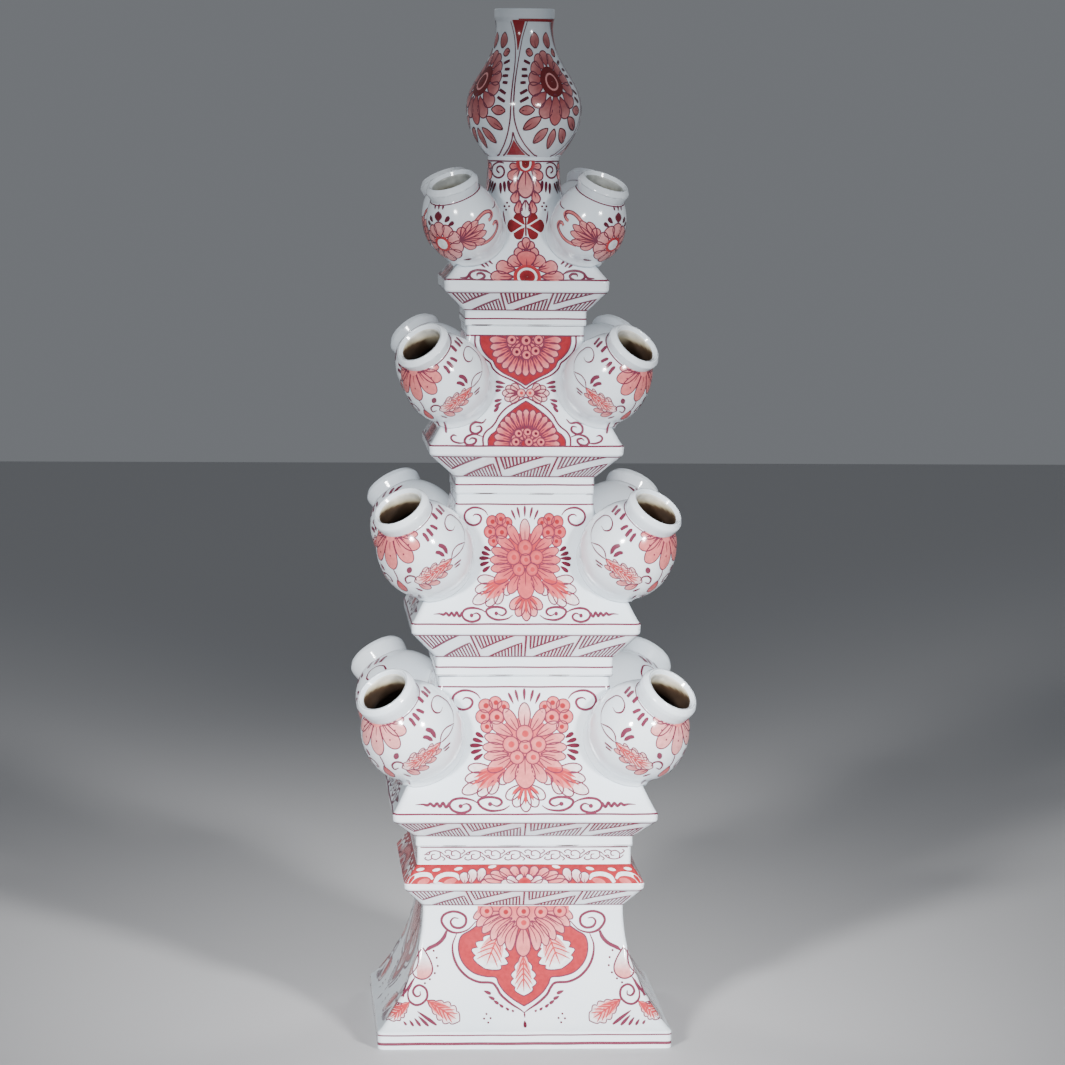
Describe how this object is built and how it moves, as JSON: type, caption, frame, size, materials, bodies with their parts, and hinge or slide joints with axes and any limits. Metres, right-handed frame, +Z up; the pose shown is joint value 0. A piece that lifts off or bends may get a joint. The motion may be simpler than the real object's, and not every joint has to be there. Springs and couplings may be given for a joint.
{
  "type": "tulipiere",
  "caption": "Stacked square flower pyramid in painted glazed earthenware: hollow plinth, lift-off tiers with globe spouts at the corners, bulb vase on top.",
  "frame": {"origin": "centre of the plinth's foot, on the surface that it stands on", "axes": "+Z up along the stack; -Y is the painted front seen in the picture"},
  "size_m": [0.2038, 0.2038, 0.62],
  "materials": {
    "glazed_body": "glossy tin glaze with rose and red painting",
    "glazed_spout": "glossy tin glaze with rose and red painting"
  },
  "bodies": {
    "plinth": {"plinth": "glazed_body"},
    "tier_1": {"tier_1": "glazed_body", "spout_1_front_left": "glazed_spout", "spout_1_front_right": "glazed_spout", "spout_1_back_left": "glazed_spout", "spout_1_back_right": "glazed_spout"},
    "tier_2": {"tier_2": "glazed_body", "spout_2_front_left": "glazed_spout", "spout_2_front_right": "glazed_spout", "spout_2_back_left": "glazed_spout", "spout_2_back_right": "glazed_spout"},
    "tier_3": {"tier_3": "glazed_body", "spout_3_front_left": "glazed_spout", "spout_3_front_right": "glazed_spout", "spout_3_back_left": "glazed_spout", "spout_3_back_right": "glazed_spout"},
    "tier_4": {"tier_4": "glazed_body", "spout_4_front_left": "glazed_spout", "spout_4_front_right": "glazed_spout", "spout_4_back_left": "glazed_spout", "spout_4_back_right": "glazed_spout", "bulb_vase": "glazed_spout"}
  },
  "joints": [
    {"name": "tier_1_lift", "type": "slide", "parent": "plinth", "child": "tier_1", "axis": [0, 0, 1], "range_m": [0, 0.05]},
    {"name": "tier_2_lift", "type": "slide", "parent": "tier_1", "child": "tier_2", "axis": [0, 0, 1], "range_m": [0, 0.05]},
    {"name": "tier_3_lift", "type": "slide", "parent": "tier_2", "child": "tier_3", "axis": [0, 0, 1], "range_m": [0, 0.05]},
    {"name": "tier_4_lift", "type": "slide", "parent": "tier_3", "child": "tier_4", "axis": [0, 0, 1], "range_m": [0, 0.05]}
  ]
}
